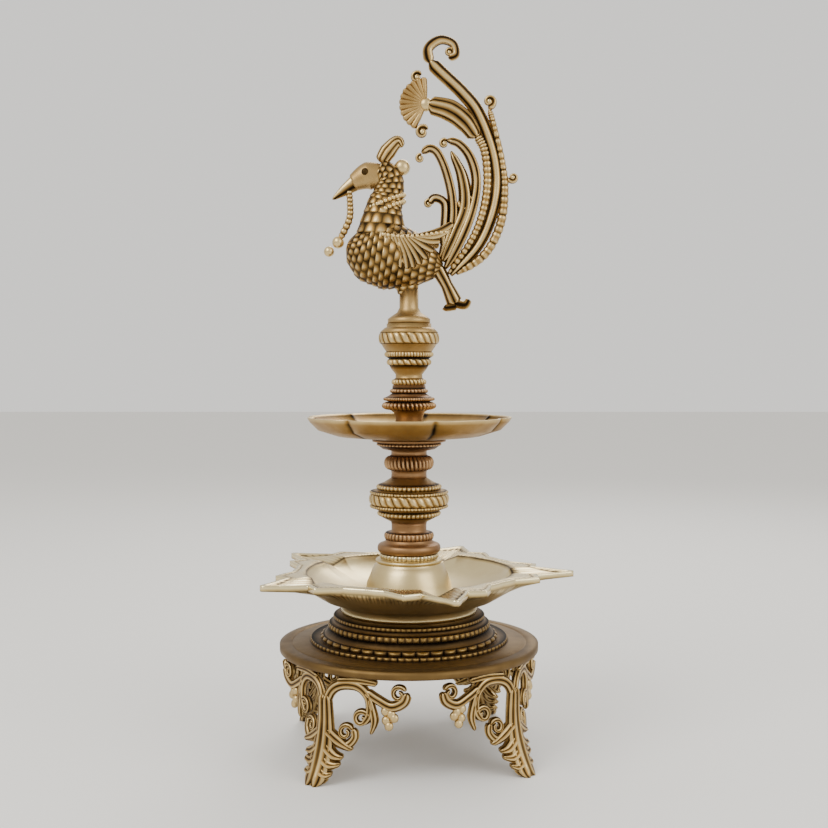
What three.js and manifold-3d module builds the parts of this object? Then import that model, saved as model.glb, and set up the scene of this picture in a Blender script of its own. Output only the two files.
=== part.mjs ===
// Rooster oil lamp in cast and turned brass, in millimetres, +Z up.
// The lamp stands on the plane z = 0, its column is upright, and the bird looks along -X.
// It comes apart as the real lamp does: a footed base, a dish with five wick spouts, a turned stem,
// a lobed upper dish, a turned upper stem and the bird, held together by three threaded studs.
import * as THREE from "three";
import { mergeVertices } from "three/addons/utils/BufferGeometryUtils.js";
import Module from "manifold-3d";

const wasm = await Module();
wasm.setup();

// Driving dimensions: the base
const discRadius = 93;
const discUnderside = 72;
const discRim = 5.4;
const discWall = 6;
const bandRadius = 64;
const bandRise = 5;
const coneRadius = 60;
const coneFootRise = 9.5;
const coneTopRadius = 51;
const coneTopRise = 27;
const bossRadius = 13;
const bossDepth = 19;

// Driving dimensions: the legs
const legCount = 4;
const firstLegAngle = -38;
const ridgeRadius = 93;
const wingTurn = 20;
const wingThickness = 5;
const leafThickness = 9;
const toeFlare = 13;
const flareHeight = 46;
const flangeThickness = 3;
const flangeHalfWidth = 30;
const flangeInner = 28;
const screwSpread = 20;
const screwInset = 21;
const screwRadius = 2.5;
const screwHeadRadius = 4.5;
const screwHeadHeight = 2.6;
const screwGrip = 4.5;

// Driving dimensions: the studs and their threads
const studRadius = 6;
const finialStudRadius = 4;
const studClearance = 0.3;
const threadDepth = 0.7;
const baseGrip = 14;
const stemGrip = 14;
const finialGrip = 13;
const seatGap = 0.3;

// Driving dimensions: the lower dish
const spoutCount = 5;
const firstSpoutAngle = 15;
const dishFootRadius = 49;
const dishFootHeight = 6;
const dishFloorThickness = 6.7;
const dishDepth = 17;
const dishRimHeight = 5;
const bowlFloorRadius = 44;
const bowlRimRadius = 73;
const spoutTipRadius = 118;
const spoutEarRadius = 97;
const spoutEarAngle = 17;
const spoutNeckRadius = 92;
const spoutNeckAngle = 10;
const valleyRadius = 82;
const spoutMouthHalf = 11;
const spoutChannelLength = 112;

// Driving dimensions: the dome and the turned stem
const domeRadius = 32;
const domeTopRadius = 23;
const domeHeight = 29;
const collarRadius = 23;
const collarHeight = 9.4;
const beadFlangeRadius = 18;
const beadFlangeHeight = 5.5;
const neckRadius = 13;
const lowerNeckHeight = 7.4;
const knopRadius = 29;
const knopBand = 10;
const knopShoulderRadius = 23;
const knopLowerHeight = 11.4;
const knopUpperHeight = 10.2;
const upperNeckHeight = 5.7;
const bulbRadius = 18;
const bulbHeight = 10.1;
const saucerNeckHeight = 4;
const saucerRadius = 26.5;
const saucerHeight = 8;

// Driving dimensions: the upper dish
const lobeCount = 7;
const upperDishRadius = 74;
const upperDishDepth = 15.7;
const upperDishWall = 2.6;
const upperFloorRadius = 40;
const lobeNotch = 4.5;

// Driving dimensions: the upper stem
const squatRadius = 19.8;
const squatFootRadius = 10.5;
const squatFootHeight = 18;
const squatBandHeight = 6.5;
const squatTopHeight = 11;
const squatTopRadius = 12;
const ringRadius = 12.6;
const ringHeight = 4.5;
const waistRadius = 10;
const cupRadius = 17.5;
const cupLowerHeight = 13.5;
const cupUpperHeight = 11.5;
const shoulderRadius = 21.9;
const shoulderHeight = 8;
const shoulderSlope = 4;
const seatRadius = 16;
const seatHeight = 2.5;

// Driving dimensions: the bird
const plinthRadius = 15.2;
const plinthHeight = 3;
const plinthConeHeight = 6;
const shankRadius = 6.8;
const tailThickness = 8;
const bodyHalfWidth = 19;
const neckHalfWidth = 8.5;

// Facets
const discFacets = 40;
const turnedFacets = 20;
const studFacets = 12;
const mergeTolerance = 0.5;

// Heights along the column, each one standing on the piece below it
const discTop = discUnderside + discRim;
const baseSeat = discUnderside + coneTopRise;
const dishBottom = baseSeat + seatGap;
const dishFloor = dishBottom + dishFootHeight + dishFloorThickness;
const dishRim = dishBottom + dishFootHeight + dishFloorThickness + dishDepth;
const domeBottom = dishFloor + seatGap;
const stemBottom = domeBottom + domeHeight;
const knopBottom = stemBottom + collarHeight + beadFlangeHeight + lowerNeckHeight;
const stemTopBottom = knopBottom + knopLowerHeight + knopBand + knopUpperHeight;
const saucerTop = stemTopBottom + upperNeckHeight + bulbHeight + saucerNeckHeight + saucerHeight;
const upperDishBottom = saucerTop + seatGap;
const upperDishFloor = upperDishBottom + upperDishWall;
const upperDishRim = upperDishBottom + upperDishDepth;
const squatBottom = upperDishFloor + seatGap;
const vaseBottom = squatBottom + squatFootHeight + squatBandHeight + squatTopHeight;
const vaseWaist = vaseBottom + ringHeight;
const shoulderBottom = vaseWaist + cupLowerHeight + cupUpperHeight;
const vaseTop = shoulderBottom + shoulderHeight + shoulderSlope + seatHeight;
const birdBottom = vaseTop + seatGap;

// Materials
function metal(color, roughness) {
  return new THREE.MeshStandardMaterial({ color, roughness, metalness: 1 });
}
const antiqueBrass = metal(0x8a6a3c, 0.42);
const darkBrass = metal(0x4a3b28, 0.5);
const polishedBrass = metal(0xc9b274, 0.25);
const copperyBrass = metal(0x9a6240, 0.4);
const studSteel = metal(0x8c8c86, 0.35);

// A closed geometry as a manifold solid, its shared vertices merged by place alone
function toSolid(geometry) {
  const bare = geometry.index ? geometry.toNonIndexed() : geometry.clone();
  bare.deleteAttribute("normal");
  bare.deleteAttribute("uv");
  const merged = mergeVertices(bare, 1e-4);
  return new wasm.Manifold(
    new wasm.Mesh({
      numProp: 3,
      vertProperties: merged.attributes.position.array,
      triVerts: new Uint32Array(merged.index.array),
    }),
  );
}

// A manifold solid back as a geometry with flat normals
function toGeometry(solid) {
  const mesh = solid.simplify(mergeTolerance).getMesh();
  const geometry = new THREE.BufferGeometry();
  geometry.setAttribute("position", new THREE.BufferAttribute(new Float32Array(mesh.vertProperties), 3));
  geometry.setIndex(new THREE.BufferAttribute(new Uint32Array(mesh.triVerts), 1));
  const flat = geometry.toNonIndexed();
  flat.computeVertexNormals();
  return flat;
}

// Joins geometries into one solid
function union(geometries) {
  return geometries.map(toSolid).reduce((joined, next) => joined.add(next));
}

// The main body of a solid, without the crumbs that crossing outlines leave
function largest(solid) {
  const [body] = solid.decompose().sort((a, b) => b.volume() - a.volume());
  return body;
}

// A profile of [radius, height] points turned about Z
function turned(profile, facets = turnedFacets) {
  const points = profile.map(([radius, height]) => new THREE.Vector2(radius, height));
  return new THREE.LatheGeometry(points, facets).rotateX(Math.PI / 2);
}

// A ring-shaped turned piece: the outer profile from bottom to top, closed down a bore
function turnedRing(outer, bore, facets = turnedFacets) {
  const bottom = outer[0][1];
  const top = outer[outer.length - 1][1];
  return turned([[bore, bottom], ...outer, [bore, top], [bore, bottom]], facets);
}

// Points of a half round bulging outwards from radius to radius + bulge
function halfRound(radius, bulge, bottom, top, steps = 4) {
  const points = [];
  for (let i = 0; i <= steps; i += 1) {
    const angle = (Math.PI * i) / steps;
    const height = bottom + ((top - bottom) * (1 - Math.cos(angle))) / 2;
    points.push([radius + bulge * Math.sin(angle), height]);
  }
  return points;
}

function degrees(angle) {
  return (angle * Math.PI) / 180;
}

// A point at a polar angle, where 0 degrees faces -Y and positive angles turn towards +X
function polar(radius, angle) {
  return new THREE.Vector2(radius * Math.sin(degrees(angle)), -radius * Math.cos(degrees(angle)));
}

// An extruded outline standing in the XZ plane, between y = front and y = front + thickness
function upright(shape, front, thickness) {
  const geometry = new THREE.ExtrudeGeometry(shape, { depth: thickness, bevelEnabled: false });
  return geometry.rotateX(Math.PI / 2).translate(0, front + thickness, 0);
}

// The outline of a band of changing width along a smooth line, with pointed or blunt ends
function ribbon(line, widths, steps) {
  const curve = new THREE.SplineCurve(line.map(([x, z]) => new THREE.Vector2(x, z)));
  const left = [];
  const right = [];
  for (let i = 0; i <= steps; i += 1) {
    const share = i / steps;
    const place = share * (widths.length - 1);
    const before = Math.min(Math.floor(place), widths.length - 2);
    const width = THREE.MathUtils.lerp(widths[before], widths[before + 1], place - before);
    const point = curve.getPoint(share);
    const along = curve.getTangent(share);
    left.push(new THREE.Vector2(point.x - (along.y * width) / 2, point.y + (along.x * width) / 2));
    right.unshift(new THREE.Vector2(point.x + (along.y * width) / 2, point.y - (along.x * width) / 2));
  }
  return new THREE.Shape([...left, ...right]);
}

function disc(x, z, radius, sides = 8) {
  const points = [];
  for (let i = 0; i < sides; i += 1) {
    const angle = (2 * Math.PI * i) / sides;
    points.push(new THREE.Vector2(x + radius * Math.cos(angle), z + radius * Math.sin(angle)));
  }
  return new THREE.Shape(points);
}

// The places of the screws of one leg, as [radius, angle]
function screwPlaces(legAngle) {
  const inner = ridgeRadius - screwInset;
  const radius = Math.hypot(inner, screwSpread);
  const swing = THREE.MathUtils.radToDeg(Math.atan2(screwSpread, inner));
  return [-swing, swing].map((side) => [radius, legAngle + side]);
}

const legAngles = Array.from({ length: legCount }, (_, i) => firstLegAngle + (i * 360) / legCount);

// The footed disc rising in steps to the seat of the dish, hollow from below round a threaded boss
function baseDisc() {
  const hollowTop = baseSeat - discWall;
  const hollowRadius = coneTopRadius - discWall;
  const profile = [
    [0, baseSeat - bossDepth],
    [bossRadius, baseSeat - bossDepth],
    [bossRadius, hollowTop],
    [hollowRadius, hollowTop],
    [coneRadius - discWall, discUnderside + coneFootRise - discWall / 2],
    [coneRadius, discUnderside],
    [discRadius - 1, discUnderside],
    [discRadius, discUnderside + 1],
    [discRadius, discTop],
    [discRadius - 7, discTop + 0.6],
    [bandRadius + 6, discTop + bandRise / 2],
    [bandRadius, discTop + bandRise / 2],
    [coneRadius, discUnderside + coneFootRise],
    [coneRadius - 1, discUnderside + coneFootRise + 2],
    [coneTopRadius + 4, baseSeat - 8],
    [coneTopRadius + 3, baseSeat - 3],
    [coneTopRadius, baseSeat],
    [0, baseSeat],
  ];
  let solid = toSolid(turned(profile, discFacets));
  const bore = new THREE.CylinderGeometry(
    studRadius + studClearance,
    studRadius + studClearance,
    baseGrip + 2,
    studFacets,
  );
  bore.rotateX(Math.PI / 2).translate(0, 0, baseSeat - baseGrip / 2);
  solid = solid.subtract(toSolid(bore));
  for (const legAngle of legAngles) {
    for (const [radius, angle] of screwPlaces(legAngle)) {
      const at = polar(radius, angle);
      const hole = new THREE.CylinderGeometry(
        screwRadius + studClearance,
        screwRadius + studClearance,
        2 * (screwGrip + studClearance),
        12,
      );
      hole.rotateX(Math.PI / 2).translate(at.x, at.y, discUnderside);
      solid = solid.subtract(toSolid(hole));
    }
  }
  return toGeometry(solid);
}

// One leg facing -Y: two scrolled wings that meet at a ridge, with an acanthus leaf down to the toe
function leg() {
  const top = discUnderside;
  const scrolls = [
    ribbon([[1, 50], [6, 61], [14, 65.5], [25, 65], [32, 58], [32.5, 47], [28, 40]], [7, 8.5, 9, 9, 8, 6], 8),
    ribbon([[30, 62], [39, 57], [48, 53.5], [56, 57], [59, 63]], [8, 8, 8, 7], 5),
    ribbon([[2, 46], [4, 36], [10, 28], [18, 26], [23, 31], [22, 37]], [6, 6, 7, 6], 6),
    ribbon([[33, 58], [36, 44], [34, 34]], [4, 6, 1.5], 4),
  ];
  const discs = [disc(27, 43.5, 5.5), disc(53, 62, 5), disc(16.5, 34, 4.8), disc(47, 43.5, 5)];
  const headPlate = new THREE.Shape(
    [[10, 60], [34, 60], [40, 66], [40, top - 0.3], [6, top - 0.3]].map(([x, z]) => new THREE.Vector2(x, z)),
  );
  const bridge = new THREE.Shape(
    [[26, 23], [28.5, 30], [22, 40], [12, 24]].map(([x, z]) => new THREE.Vector2(x, z)),
  );
  const petal = new THREE.Shape([[42, 42], [50, 42], [52, 54], [40, 58]].map(([x, z]) => new THREE.Vector2(x, z)));
  const wing = [];
  for (const shape of [...scrolls, ...discs, headPlate, bridge, petal]) {
    wing.push(upright(shape, 0, wingThickness));
  }
  const leaf = new THREE.Shape(
    [
      [0, 58],
      [5, 56],
      [5, 40],
      [9, 30],
      [22, 24],
      [25, 22],
      [17, 18.5],
      [18.5, 15],
      [13, 12.5],
      [13.5, 8],
      [9, 5],
      [8, 0],
      [-1, 0],
      [-1, 58],
    ].map(([x, z]) => new THREE.Vector2(x, z)),
  );
  wing.push(upright(leaf, -1, leafThickness - 1));
  const right = union(wing.map((piece) => piece.rotateZ(degrees(wingTurn))));
  const left = right.mirror([1, 0, 0]);
  const flange = new THREE.Shape(
    [
      [-flangeHalfWidth, 12.5],
      [-4, 1],
      [4, 1],
      [flangeHalfWidth, 12.5],
      [flangeHalfWidth - 6, flangeInner],
      [-flangeHalfWidth + 6, flangeInner],
    ].map(([x, y]) => new THREE.Vector2(x, y)),
  );
  const plate = new THREE.ExtrudeGeometry(flange, { depth: flangeThickness, bevelEnabled: false });
  plate.translate(0, 0, top - 0.3 - flangeThickness);
  let solid = right.add(left).add(toSolid(plate));
  for (const side of [-1, 1]) {
    const hole = new THREE.CylinderGeometry(screwRadius + studClearance, screwRadius + studClearance, 20, 12);
    hole.rotateX(Math.PI / 2).translate(side * screwSpread, screwInset, top);
    solid = solid.subtract(toSolid(hole));
  }
  const below = new THREE.BoxGeometry(200, 200, 20).translate(0, 0, -10);
  solid = solid.subtract(toSolid(below));
  solid = solid.warp((vertex) => {
    const fall = Math.max(0, 1 - vertex[2] / flareHeight);
    vertex[1] -= ridgeRadius + toeFlare * fall * fall;
  });
  return toGeometry(solid);
}

// One pan-head screw, its head under the leg's flange
function legScrew() {
  const flangeBottom = discUnderside - 0.3 - flangeThickness;
  const headBottom = flangeBottom - screwHeadHeight;
  return turned(
    [
      [0, headBottom],
      [screwHeadRadius - 1.2, headBottom],
      [screwHeadRadius, headBottom + 1.2],
      [screwHeadRadius, flangeBottom],
      [screwRadius, flangeBottom],
      [screwRadius, discUnderside + screwGrip],
      [0, discUnderside + screwGrip],
    ],
    12,
  );
}

// A stud with chamfered ends; its thread is left as the smooth cylinder of the thread's crest
function stud(radius, bottom, top) {
  return turned(
    [
      [0, bottom],
      [radius - threadDepth, bottom],
      [radius, bottom + threadDepth],
      [radius, top - threadDepth],
      [radius - threadDepth, top],
      [0, top],
    ],
    studFacets,
  );
}

// The five-pointed outline of the lower dish's rim: tip, ear, neck and valley of each spout
function dishOutline() {
  const points = [];
  for (let i = 0; i < spoutCount; i += 1) {
    const middle = firstSpoutAngle + (i * 360) / spoutCount;
    const half = 180 / spoutCount;
    points.push(polar(valleyRadius, middle - half));
    points.push(polar(valleyRadius + 2, middle - half * 0.72));
    points.push(polar(spoutEarRadius, middle - spoutEarAngle));
    points.push(polar(spoutNeckRadius, middle - spoutNeckAngle));
    points.push(polar(spoutTipRadius - 9, middle - 3.2));
    points.push(polar(spoutTipRadius, middle - 0.8));
    points.push(polar(spoutTipRadius, middle + 0.8));
    points.push(polar(spoutTipRadius - 9, middle + 3.2));
    points.push(polar(spoutNeckRadius, middle + spoutNeckAngle));
    points.push(polar(spoutEarRadius, middle + spoutEarAngle));
    points.push(polar(valleyRadius + 2, middle + half * 0.72));
  }
  return new THREE.Shape(points);
}

// The lower dish: a star-shaped cup cut from a belly profile, hollowed to a bowl with five wick channels
function lowerDish() {
  const slab = new THREE.ExtrudeGeometry(dishOutline(), { depth: dishRim - dishBottom, bevelEnabled: false });
  slab.translate(0, 0, dishBottom);
  const belly = turned(
    [
      [0, dishBottom],
      [dishFootRadius, dishBottom],
      [dishFootRadius, dishBottom + dishFootHeight],
      [dishFootRadius + 14, dishBottom + dishFootHeight + 4],
      [valleyRadius - 4, dishRim - dishRimHeight - 5],
      [spoutEarRadius, dishRim - dishRimHeight - 1.5],
      [spoutTipRadius + 4, dishRim - dishRimHeight + 2],
      [spoutTipRadius + 4, dishRim + 1],
      [0, dishRim + 1],
    ],
    discFacets,
  );
  const bowl = turned(
    [
      [0, dishFloor],
      [bowlFloorRadius, dishFloor],
      [bowlFloorRadius + 14, dishFloor + 4.5],
      [bowlRimRadius - 3, dishRim - 4.5],
      [bowlRimRadius, dishRim],
      [bowlRimRadius, dishRim + 2],
      [0, dishRim + 2],
    ],
    discFacets,
  );
  let solid = toSolid(slab).intersect(toSolid(belly)).subtract(toSolid(bowl));
  for (let i = 0; i < spoutCount; i += 1) {
    const channel = new THREE.Shape(
      [
        [-spoutMouthHalf, dishRim + 2],
        [-spoutMouthHalf, dishRim],
        [0, dishRim - dishRimHeight],
        [spoutMouthHalf, dishRim],
        [spoutMouthHalf, dishRim + 2],
      ].map(([x, z]) => new THREE.Vector2(x, z)),
    );
    const groove = upright(channel, -spoutChannelLength, spoutChannelLength - bowlRimRadius + 12);
    // The groove narrows and shallows towards the tip of the spout
    const place = groove.attributes.position;
    for (let j = 0; j < place.count; j += 1) {
      const out = (-place.getY(j) - bowlRimRadius + 12) / (spoutChannelLength - bowlRimRadius + 12);
      const share = 1 - 0.82 * out;
      place.setX(j, place.getX(j) * share);
      if (place.getZ(j) < dishRim - 0.01) place.setZ(j, dishRim - dishRimHeight * share);
    }
    groove.rotateZ(degrees(firstSpoutAngle + (i * 360) / spoutCount));
    solid = solid.subtract(toSolid(groove));
  }
  const hole = new THREE.CylinderGeometry(studRadius + studClearance, studRadius + studClearance, 60, studFacets);
  hole.rotateX(Math.PI / 2).translate(0, 0, dishBottom);
  return toGeometry(solid.subtract(toSolid(hole)));
}

// The polished dome that caps the middle of the dish, with a thin lip and a beaded groove above it
function domeCollar() {
  const top = stemBottom;
  return turnedRing(
    [
      [domeRadius, domeBottom],
      [domeRadius, domeBottom + 3],
      [domeRadius - 2.5, domeBottom + 8],
      [domeTopRadius + 3, top - 9],
      [domeTopRadius, top - 7],
      [domeTopRadius + 1, top - 5.5],
      [domeTopRadius, top - 4],
      [domeTopRadius - 2, top - 3.5],
      [domeTopRadius - 2, top],
    ],
    studRadius + studClearance,
  );
}

// The foot of the stem: a rounded collar, a beaded flange and a plain neck
function lowerStem() {
  const flange = stemBottom + collarHeight;
  const neck = flange + beadFlangeHeight;
  return turnedRing(
    [
      [collarRadius - 2.5, stemBottom],
      ...halfRound(collarRadius - 2, 2, stemBottom, flange - 2.5),
      [beadFlangeRadius - 1, flange - 1.5],
      [beadFlangeRadius - 1, flange],
      [beadFlangeRadius, flange + 1],
      [beadFlangeRadius, neck - 1.5],
      [neckRadius, neck],
      [neckRadius, knopBottom],
    ],
    studRadius + studClearance,
  );
}

// The knop in the middle of the stem: a broad chased band between two beaded steps
function middleKnop() {
  const bandBottom = knopBottom + knopLowerHeight;
  const bandTop = bandBottom + knopBand;
  return turnedRing(
    [
      [neckRadius, knopBottom],
      [knopShoulderRadius - 4, knopBottom + 3],
      [knopShoulderRadius - 1, knopBottom + 4.5],
      [knopShoulderRadius, bandBottom - 2.5],
      [knopRadius - 2.5, bandBottom - 1],
      [knopRadius, bandBottom + 1],
      [knopRadius, bandTop - 1],
      [knopShoulderRadius + 1, bandTop + 1.5],
      [knopShoulderRadius, bandTop + 2],
      [knopShoulderRadius, bandTop + 5.5],
      [neckRadius, stemTopBottom],
    ],
    studRadius + studClearance,
  );
}

// The top of the stem: neck, chased bulb, second neck and the saucer that carries the upper dish
function stemTop() {
  const bulb = stemTopBottom + upperNeckHeight;
  const neck = bulb + bulbHeight;
  const saucer = neck + saucerNeckHeight;
  return turnedRing(
    [
      [neckRadius, stemTopBottom],
      [neckRadius, bulb],
      ...halfRound(neckRadius + 0.8, bulbRadius - neckRadius - 0.8, bulb, neck, 6),
      [neckRadius, neck + 0.5],
      [neckRadius, saucer],
      [saucerRadius - 7, saucer + 1],
      [saucerRadius, saucerTop - 1.5],
      [saucerRadius, saucerTop],
    ],
    studRadius + studClearance,
  );
}

// The outline of the upper dish at a share of its radius: lobes parted by shallow notches
function lobedRing(radius, facetsPerLobe) {
  const points = [];
  const total = lobeCount * facetsPerLobe;
  for (let i = 0; i < total; i += 1) {
    const share = (i % facetsPerLobe) / facetsPerLobe;
    const notch = lobeNotch * (radius / upperDishRadius) * (1 - Math.sin(Math.PI * share)) ** 3;
    points.push(polar(radius - notch, firstSpoutAngle + (i * 360) / total));
  }
  return points;
}

// The upper dish: rings of lobed outlines skinned from the floor to the rim, outside and inside
function upperDish() {
  const facetsPerLobe = 8;
  const bore = studRadius + studClearance;
  const sections = [
    [bore, upperDishBottom],
    [saucerRadius + 2, upperDishBottom],
    [upperFloorRadius + 12, upperDishBottom + 2.5],
    [upperDishRadius - 8, upperDishBottom + 7],
    [upperDishRadius, upperDishRim],
    [upperDishRadius - upperDishWall, upperDishRim],
    [upperDishRadius - 10, upperDishBottom + 8.5],
    [upperFloorRadius + 10, upperDishFloor + 2.5],
    [upperFloorRadius, upperDishFloor],
    [bore, upperDishFloor],
    [bore, upperDishBottom],
  ];
  const around = lobeCount * facetsPerLobe;
  const profile = sections.map(([radius, height]) => new THREE.Vector2(radius, height));
  const geometry = new THREE.LatheGeometry(profile, around).rotateX(Math.PI / 2);
  const place = geometry.attributes.position;
  for (let i = 0; i <= around; i += 1) {
    for (let j = 0; j < sections.length; j += 1) {
      const [radius, height] = sections[j];
      const lobed = lobedRing(radius, facetsPerLobe)[i % around];
      const round = polar(radius, firstSpoutAngle + ((i % around) * 360) / around);
      const at = radius > upperFloorRadius ? lobed : round;
      place.setXYZ(i * sections.length + j, at.x, at.y, height);
    }
  }
  return geometry;
}

// The squat chased bulb that clamps the upper dish
function squatBulb() {
  const band = squatBottom + squatFootHeight;
  const shoulder = band + squatBandHeight;
  return turnedRing(
    [
      [squatFootRadius, squatBottom],
      [squatFootRadius + 1, squatBottom + 1],
      [squatRadius - 2, band - 0.5],
      [squatRadius, band + 2],
      [squatRadius, band + 4],
      [squatRadius - 2.5, shoulder],
      [squatTopRadius + 2, vaseBottom - 3.5],
      [squatTopRadius, vaseBottom],
    ],
    studRadius + studClearance,
  );
}

// The vase: a gadrooned ring, a flaring cup with a beaded girdle, a broad shoulder and the bird's seat
function vase() {
  const girdle = vaseWaist + cupLowerHeight;
  const slope = shoulderBottom + shoulderHeight;
  const socketDepth = finialGrip + 2;
  const boreDepth = stemGrip + 2;
  return turned([
    [studRadius + studClearance, vaseBottom],
    ...halfRound(ringRadius - 1.6, 1.6, vaseBottom, vaseWaist),
    [waistRadius, vaseWaist + 1],
    [waistRadius + 3, vaseWaist + 5],
    [cupRadius - 0.5, girdle - 2.5],
    [cupRadius, girdle + 1.5],
    [cupRadius + 0.6, girdle + 2],
    [shoulderRadius - 1.8, shoulderBottom],
    [shoulderRadius, shoulderBottom + 1.2],
    [shoulderRadius, slope - 1],
    [shoulderRadius - 1, slope],
    [seatRadius, slope + shoulderSlope - 0.5],
    [seatRadius, vaseTop],
    [finialStudRadius + studClearance, vaseTop],
    [finialStudRadius + studClearance, vaseTop - socketDepth],
    [0, vaseTop - socketDepth],
    [0, vaseBottom + boreDepth],
    [studRadius + studClearance, vaseBottom + boreDepth],
    [studRadius + studClearance, vaseBottom],
  ]);
}

// A round limb of changing radius along a smooth line, closed by its two end caps
function limb(line, radii, flatten, steps = 10, facets = 14) {
  const curve = new THREE.CatmullRomCurve3(line.map(([x, z]) => new THREE.Vector3(x, 0, z)));
  const geometry = new THREE.CylinderGeometry(1, 1, 1, facets, steps);
  const place = geometry.attributes.position;
  for (let i = 0; i < place.count; i += 1) {
    const share = place.getY(i) + 0.5;
    const spot = share * (radii.length - 1);
    const before = Math.min(Math.floor(spot), radii.length - 2);
    const radius = THREE.MathUtils.lerp(radii[before], radii[before + 1], spot - before);
    const centre = curve.getPoint(share);
    const along = curve.getTangent(share);
    const across = place.getX(i) * radius;
    const depth = place.getZ(i) * radius * flatten;
    place.setXYZ(i, centre.x - along.z * across, depth, centre.z + along.x * across);
  }
  return geometry;
}

function ball(x, y, z, radius, facets = 10) {
  return new THREE.SphereGeometry(radius, facets, 6).translate(x, y, z);
}

// The bird's body, neck, head, garland, wings, leg and plinth, one casting
function birdBody() {
  const base = birdBottom;
  const coneTop = base + plinthHeight + plinthConeHeight;
  const plinth = turned([
    [0, base],
    [plinthRadius, base],
    [plinthRadius, base + plinthHeight],
    [plinthRadius - 3, base + plinthHeight + 2],
    [shankRadius + 1.5, coneTop - 1.5],
    [shankRadius, coneTop + 2],
    [shankRadius, coneTop + 12],
    [0, coneTop + 12],
  ]);
  const trunk = new THREE.SphereGeometry(1, 20, 12);
  trunk.scale(31, bodyHalfWidth, 25).rotateY(degrees(14)).translate(-15, 0, 355);
  const rump = limb([[0, 354], [12, 348], [24, 345]], [20, 16, 9], 0.6, 5);
  const neck = limb(
    [[-22, 368], [-18, 386], [-14.5, 398], [-15.5, 409], [-24, 414]],
    [21, 13.5, 11, 11, 10.5],
    neckHalfWidth / 11,
  );
  const head = new THREE.SphereGeometry(1, 14, 8).scale(13, neckHalfWidth, 10).translate(-29, 0, 410);
  const beak = limb([[-37, 407], [-46, 400.5], [-54.5, 394]], [6.5, 4.5, 0.9], 0.7, 4, 10);
  const crest = limb([[-20, 420], [-15, 428], [-8, 435], [-4.5, 431]], [4.5, 5.5, 4, 1.8], 0.75, 6, 10);
  const bun = ball(-4.8, 0, 416.5, 6);
  const strap = limb([[-43, 403], [-42, 392], [-42.5, 380], [-49, 366]], [2.8, 2.8, 3, 3], 1, 7, 8);
  const pendants = [ball(-50.5, 0, 363.5, 4.6), ball(-57.3, 0, 357, 4)];
  const link = limb([[-52, 0], [-40, 0]].map(([x]) => [x, 362 + (x + 52) * 0.2]), [2.6, 3], 1, 2, 8);
  const tie = limb([[-50.5, 363.5], [-57.3, 357]], [2, 2], 1, 2, 8);
  const thigh = limb([[1, 350], [-1.5, 338], [-0.5, 326]], [15, 10, shankRadius], 0.8, 5);
  const wingShape = new THREE.Shape();
  wingShape.moveTo(-22, 371);
  wingShape.bezierCurveTo(-26, 352, -8, 341, 10, 343.5);
  wingShape.bezierCurveTo(24, 346, 31, 360, 31.5, 377);
  wingShape.bezierCurveTo(24, 367, 14, 363.5, 6, 366);
  wingShape.bezierCurveTo(-6, 369, -12, 376, -22, 371);
  const wings = new THREE.ExtrudeGeometry(wingShape, { depth: 36, bevelEnabled: false, curveSegments: 6 });
  wings.rotateX(Math.PI / 2).translate(0, 18, 0);
  let solid = union([plinth, trunk, rump, neck, head, beak, crest, bun, strap, ...pendants, link, tie, thigh]);
  solid = solid.add(toSolid(wings));
  // The rump is slit for the tongue of the tail
  solid = solid.subtract(toSolid(tailSlot()));
  const socket = new THREE.CylinderGeometry(
    finialStudRadius + studClearance,
    finialStudRadius + studClearance,
    2 * (finialGrip + 1),
    studFacets,
  );
  socket.rotateX(Math.PI / 2).translate(0, 0, base);
  return toGeometry(largest(solid.subtract(toSolid(socket))));
}

// The plumes of the tail, as [centre line, widths, steps], in the plane of the bird
const plumes = [
  [[[34, 341], [54, 355], [65, 376], [68, 400], [66, 421], [60, 447], [56, 458]], [6, 7, 7, 6, 5, 4.5], 16],
  [
    [[30, 340], [49, 361], [59, 384], [62.5, 407], [59, 430], [49, 455], [38, 469], [22, 484], [15, 491]],
    [6, 8, 9, 9, 9, 9, 9, 9],
    20,
  ],
  [[[14, 491], [14, 500], [22, 506], [31, 503.5], [33, 496], [29, 493.5]], [9, 8, 7, 6, 5, 5], 12],
  [[[28, 341], [43, 362], [52, 382], [56, 405], [54, 428], [48, 440]], [6, 8, 8, 7, 8], 12],
  [[[48, 438], [40, 449], [29, 457], [14, 461]], [10, 14, 15, 15], 9],
  [[[26, 345], [37, 366], [45, 387], [48, 407], [44, 423], [36, 433], [27, 436]], [8, 8, 7, 7, 6, 5.5], 14],
  [[[24, 350], [33, 370], [40, 389], [38, 410], [30, 428]], [8, 9, 10, 8, 6], 10],
  [[[22, 352], [30, 373], [31, 393], [27, 412], [21, 426], [15, 430], [9, 427]], [6, 7, 6.5, 6, 6, 5.5], 14],
  [[[24, 370], [26, 386], [24, 393], [18, 395], [14, 391]], [6, 6, 6, 6], 8],
];

// The scroll ends and rosettes of the tail, as [x, z, radius]
const tailScrolls = [
  [57.5, 463, 6],
  [74, 409.5, 5.2],
  [28.5, 497.5, 4.8],
  [5.5, 480, 5.5],
  [9.5, 441.5, 6.2],
  [25, 433.5, 4.8],
  [8, 423, 4.6],
  [41.2, 392.5, 7.4],
  [14, 391, 4.6],
];

// The fan at the tip of the middle plume
function fanOutline() {
  const points = [];
  const steps = 12;
  for (let i = 0; i <= steps; i += 1) {
    const angle = degrees(92 + (152 * i) / steps);
    points.push(new THREE.Vector2(12 + 21 * Math.cos(angle), 461 + 21 * Math.sin(angle)));
  }
  points.push(new THREE.Vector2(9, 452), new THREE.Vector2(12, 461), new THREE.Vector2(8, 470));
  return new THREE.Shape(points);
}

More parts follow.
